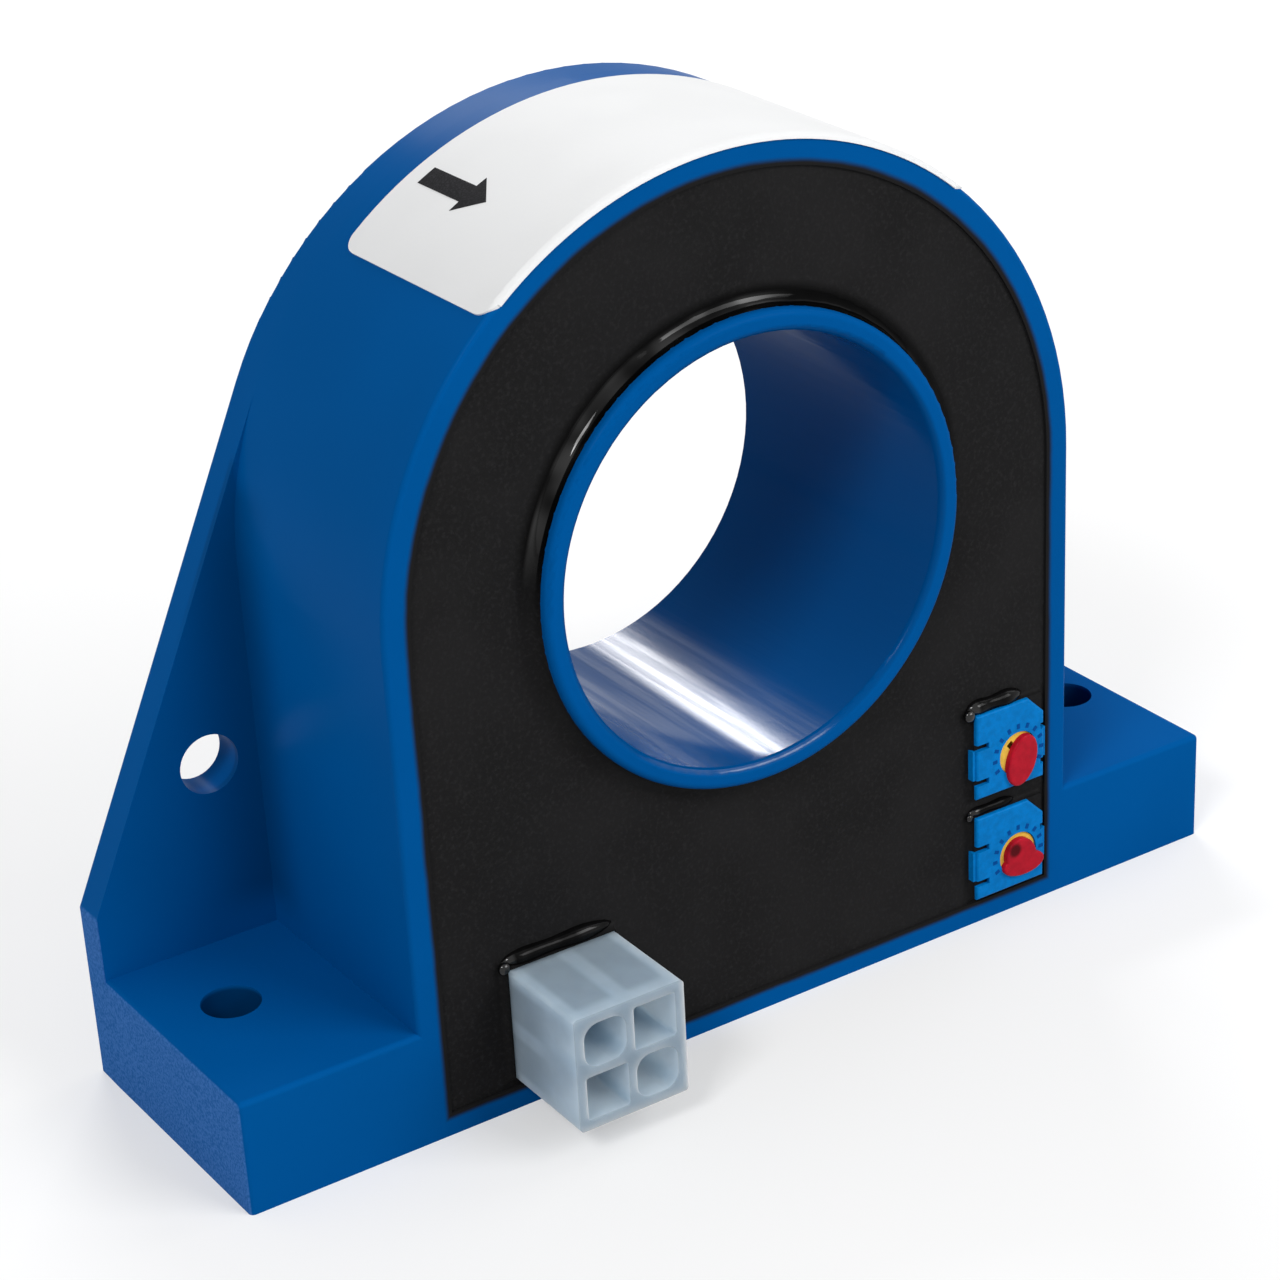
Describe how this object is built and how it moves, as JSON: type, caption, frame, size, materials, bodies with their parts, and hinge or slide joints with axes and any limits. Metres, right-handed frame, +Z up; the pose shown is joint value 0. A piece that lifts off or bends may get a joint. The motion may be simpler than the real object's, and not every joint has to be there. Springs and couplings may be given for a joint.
{
  "type": "hall effect current sensor",
  "caption": "Potted hall effect current sensor: arched plastic housing on drilled feet with a round conductor window, a multi-way header and sealed trimmers on its open face.",
  "frame": {"origin": "centre of the housing's underside, at half its width and half the depth of its moulding", "axes": "+Z up along the height, +X to the right seen from the potted face, +Y from the potted face into the depth, along the conductor window"},
  "size_m": [0.087, 0.0324, 0.0672],
  "materials": {
    "blue_housing": "moulded polyester, glossy",
    "black_resin": "cast epoxy, low sheen",
    "core_steel": "strip wound and varnished",
    "hall_black": "moulded epoxy",
    "tinned_copper": "tin plated",
    "board_green": "solder mask",
    "natural_nylon": "translucent, as moulded",
    "chip_black": "moulded epoxy",
    "resistor_black": "glazed top",
    "capacitor_tan": "fired, unglazed",
    "solder": "reflowed, bright",
    "trimmer_blue": "moulded, satin",
    "rotor_yellow": "moulded, satin",
    "sealing_lacquer": "dried lacquer",
    "label_white": "gloss film, white"
  },
  "bodies": {
    "root": {"housing": "blue_housing", "potting_resin": "black_resin", "magnetic_core": "core_steel", "hall_element": "hall_black", "hall_leads": "tinned_copper", "circuit_board": "board_green", "connector_housing": "natural_nylon", "connector_contacts": "tinned_copper", "offset_trimmer_body": "trimmer_blue", "offset_trimmer_rotor": "rotor_yellow", "offset_trimmer_seal": "sealing_lacquer", "gain_trimmer_body": "trimmer_blue", "gain_trimmer_rotor": "rotor_yellow", "gain_trimmer_seal": "sealing_lacquer", "trimmer_pins": "tinned_copper", "amplifier_chips": "chip_black", "amplifier_leads": "tinned_copper", "resistor_bodies": "resistor_black", "resistor_ends": "tinned_copper", "capacitor_bodies": "capacitor_tan", "capacitor_ends": "tinned_copper", "diode_bodies": "chip_black", "diode_tabs": "tinned_copper", "solder_joints": "solder", "label": "label_white"}
  },
  "joints": []
}
